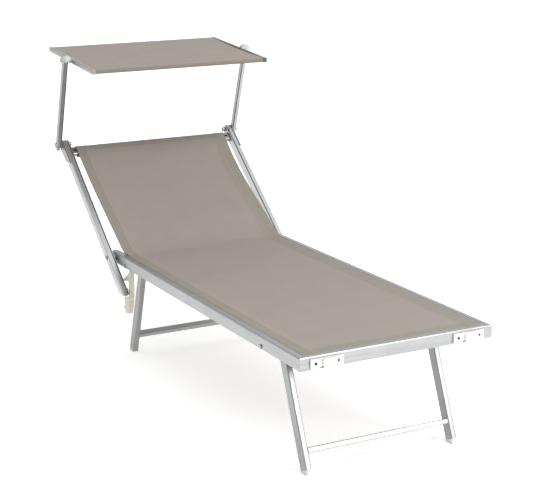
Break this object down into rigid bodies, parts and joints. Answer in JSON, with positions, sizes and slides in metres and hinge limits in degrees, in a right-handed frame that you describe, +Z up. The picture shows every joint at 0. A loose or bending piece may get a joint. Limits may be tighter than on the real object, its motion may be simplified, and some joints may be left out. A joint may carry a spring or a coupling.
{
  "type": "sun lounger with canopy",
  "caption": "Folding aluminium sun lounger with stretched taupe fabric, an adjustable backrest and a tilting sun canopy on two arms.",
  "frame": {"origin": "middle of the footprint, on the ground", "axes": "+X to the right seen from the foot end, +Y towards the head end and its canopy, +Z up"},
  "size_m": [0.749, 1.8884, 1.0455],
  "materials": {
    "aluminium": "satin anodised extrusion",
    "zinc_steel": "zinc plated",
    "black_steel": "black oxide",
    "white_nylon": "moulded, satin",
    "ivory_nylon": "moulded, matte",
    "grey_nylon": "moulded, matte",
    "green_nylon": "moulded, matte",
    "stone_nylon": "moulded, matte",
    "woven_fabric": "coated polyester weave"
  },
  "bodies": {
    "seat_frame": {"foot_crossbar": "aluminium", "rear_crossbar": "aluminium", "seat_fabric": "woven_fabric", "side_rail_left": "aluminium", "side_rail_right": "aluminium", "bumper_left": "white_nylon", "bumper_right": "white_nylon", "bumper_screw_left_a": "black_steel", "bumper_screw_left_b": "black_steel", "bumper_screw_right_a": "black_steel", "bumper_screw_right_b": "black_steel", "front_leg_bolt_left": "zinc_steel", "front_leg_bolt_right": "zinc_steel", "rear_leg_bolt_left": "zinc_steel", "rear_leg_bolt_right": "zinc_steel", "backrest_pivot_bolt_left": "zinc_steel", "backrest_pivot_bolt_right": "zinc_steel", "pivot_washer_left": "white_nylon", "pivot_washer_right": "white_nylon", "rack_pin_left": "zinc_steel", "rack_pin_right": "zinc_steel"},
    "rack_left": {"rack_left": "ivory_nylon"},
    "rack_right": {"rack_right": "ivory_nylon"},
    "front_leg_frame": {"front_leg_left": "aluminium", "front_leg_right": "aluminium", "front_foot_cap_left": "white_nylon", "front_foot_cap_right": "white_nylon", "front_leg_tube": "aluminium", "front_leg_crossbar": "aluminium"},
    "rear_leg_frame": {"rear_leg_left": "aluminium", "rear_leg_right": "aluminium", "rear_foot_cap_left": "white_nylon", "rear_foot_cap_right": "white_nylon", "rear_leg_tube": "aluminium", "rear_leg_crossbar": "aluminium"},
    "backrest": {"top_bar": "aluminium", "back_fabric": "woven_fabric", "backrest_tube_left": "aluminium", "backrest_tube_right": "aluminium", "tube_end_plug_left": "grey_nylon", "tube_end_plug_right": "grey_nylon", "joint_plate_left": "zinc_steel", "joint_plate_right": "zinc_steel", "rack_peg_left": "zinc_steel", "rack_peg_right": "zinc_steel", "arm_bolt_left": "zinc_steel", "arm_bolt_right": "zinc_steel"},
    "canopy_arms": {"canopy_arm_left": "aluminium", "canopy_arm_right": "aluminium"},
    "canopy": {"canopy_front_bar": "aluminium", "canopy_rear_bar": "aluminium", "canopy_fabric": "woven_fabric", "canopy_rail_left": "aluminium", "canopy_rail_right": "aluminium", "canopy_end_plug_left": "stone_nylon", "canopy_end_plug_right": "green_nylon", "canopy_hub_left": "white_nylon", "canopy_hub_right": "white_nylon", "hub_bolt_left": "zinc_steel", "hub_bolt_right": "zinc_steel"}
  },
  "joints": [
    {"name": "backrest_hinge", "type": "hinge", "parent": "seat_frame", "child": "backrest", "pos_m": [0, 0.41774, 0.36], "axis": [1, 0, 0], "range_deg": [-39.2, 25]},
    {"name": "front_leg_fold", "type": "hinge", "parent": "seat_frame", "child": "front_leg_frame", "pos_m": [0, -0.70696, 0.349], "axis": [1, 0, 0], "range_deg": [0, 111.9]},
    {"name": "rear_leg_fold", "type": "hinge", "parent": "seat_frame", "child": "rear_leg_frame", "pos_m": [0, 0.31894, 0.349], "axis": [1, 0, 0], "range_deg": [-108.8, 0]},
    {"name": "rack_left_swing", "type": "hinge", "parent": "seat_frame", "child": "rack_left", "pos_m": [0, 0.2852, 0.35], "axis": [1, 0, 0], "range_deg": [-45, 20]},
    {"name": "rack_right_swing", "type": "hinge", "parent": "seat_frame", "child": "rack_right", "pos_m": [0, 0.2852, 0.35], "axis": [1, 0, 0], "range_deg": [-45, 20]},
    {"name": "arm_hinge", "type": "hinge", "parent": "backrest", "child": "canopy_arms", "pos_m": [0, 0.83234, 0.69814], "axis": [1, 0, 0], "range_deg": [-60, 60]},
    {"name": "canopy_tilt", "type": "hinge", "parent": "canopy_arms", "child": "canopy", "pos_m": [0, 0.71824, 1.02033], "axis": [1, 0, 0], "range_deg": [-45, 45]}
  ]
}
